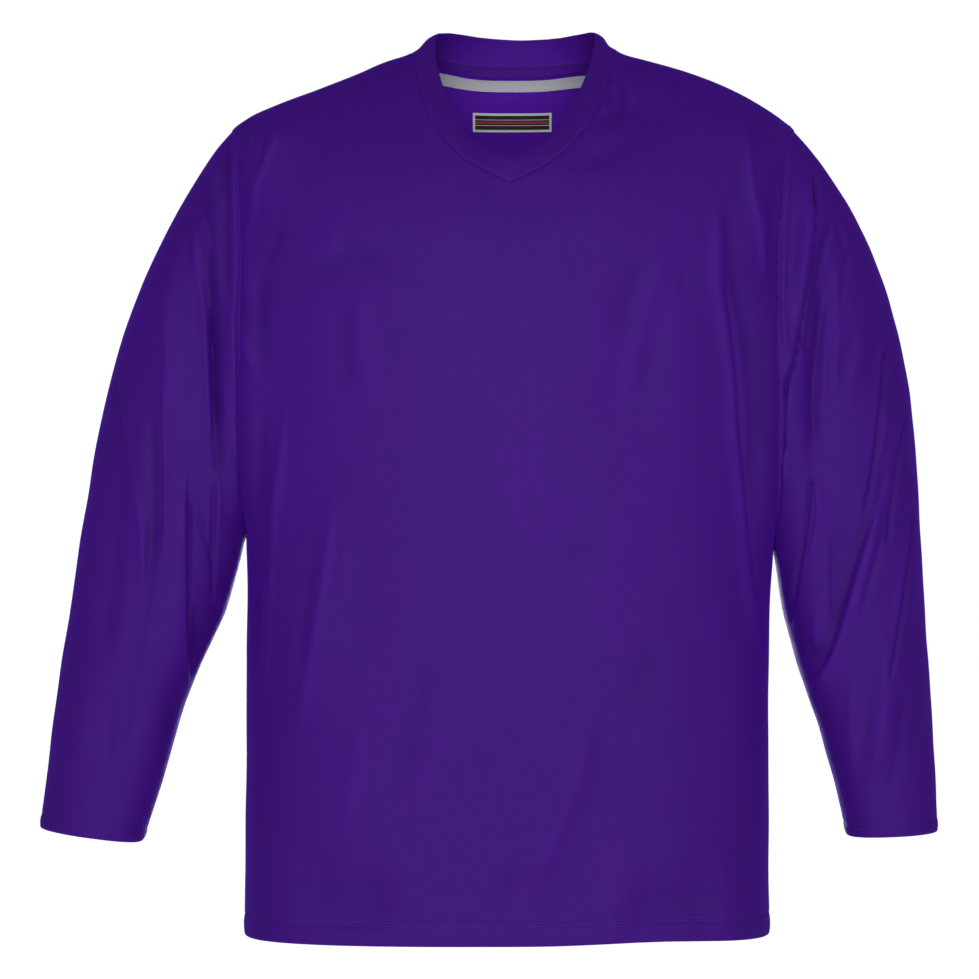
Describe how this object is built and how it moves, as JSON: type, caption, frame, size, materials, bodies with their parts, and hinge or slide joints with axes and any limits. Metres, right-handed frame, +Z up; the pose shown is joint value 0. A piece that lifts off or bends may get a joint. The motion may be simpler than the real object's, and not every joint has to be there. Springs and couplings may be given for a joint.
{
  "type": "hockey practice jersey",
  "caption": "Long-sleeved knit sports jersey in its worn form, hollow, with a V-neck band, open hem and open cuffs.",
  "frame": {"origin": "midway between the two side-neck points at shoulder level, where the wearer's shoulders carry the jersey", "axes": "+Z up, the chest faces -Y, +X is the wearer's left"},
  "size_m": [0.804, 0.2608, 0.8104],
  "materials": {
    "jersey_knit": "fine open knit with a slight sheen",
    "band_knit": "smooth close knit",
    "tape": "woven tape, matt",
    "label": "printed panel, satin"
  },
  "bodies": {
    "root": {"front": "jersey_knit", "back": "jersey_knit", "sleeve_right": "jersey_knit", "sleeve_left": "jersey_knit", "collar": "band_knit", "neck_tape": "tape", "neck_label": "label"}
  },
  "joints": []
}
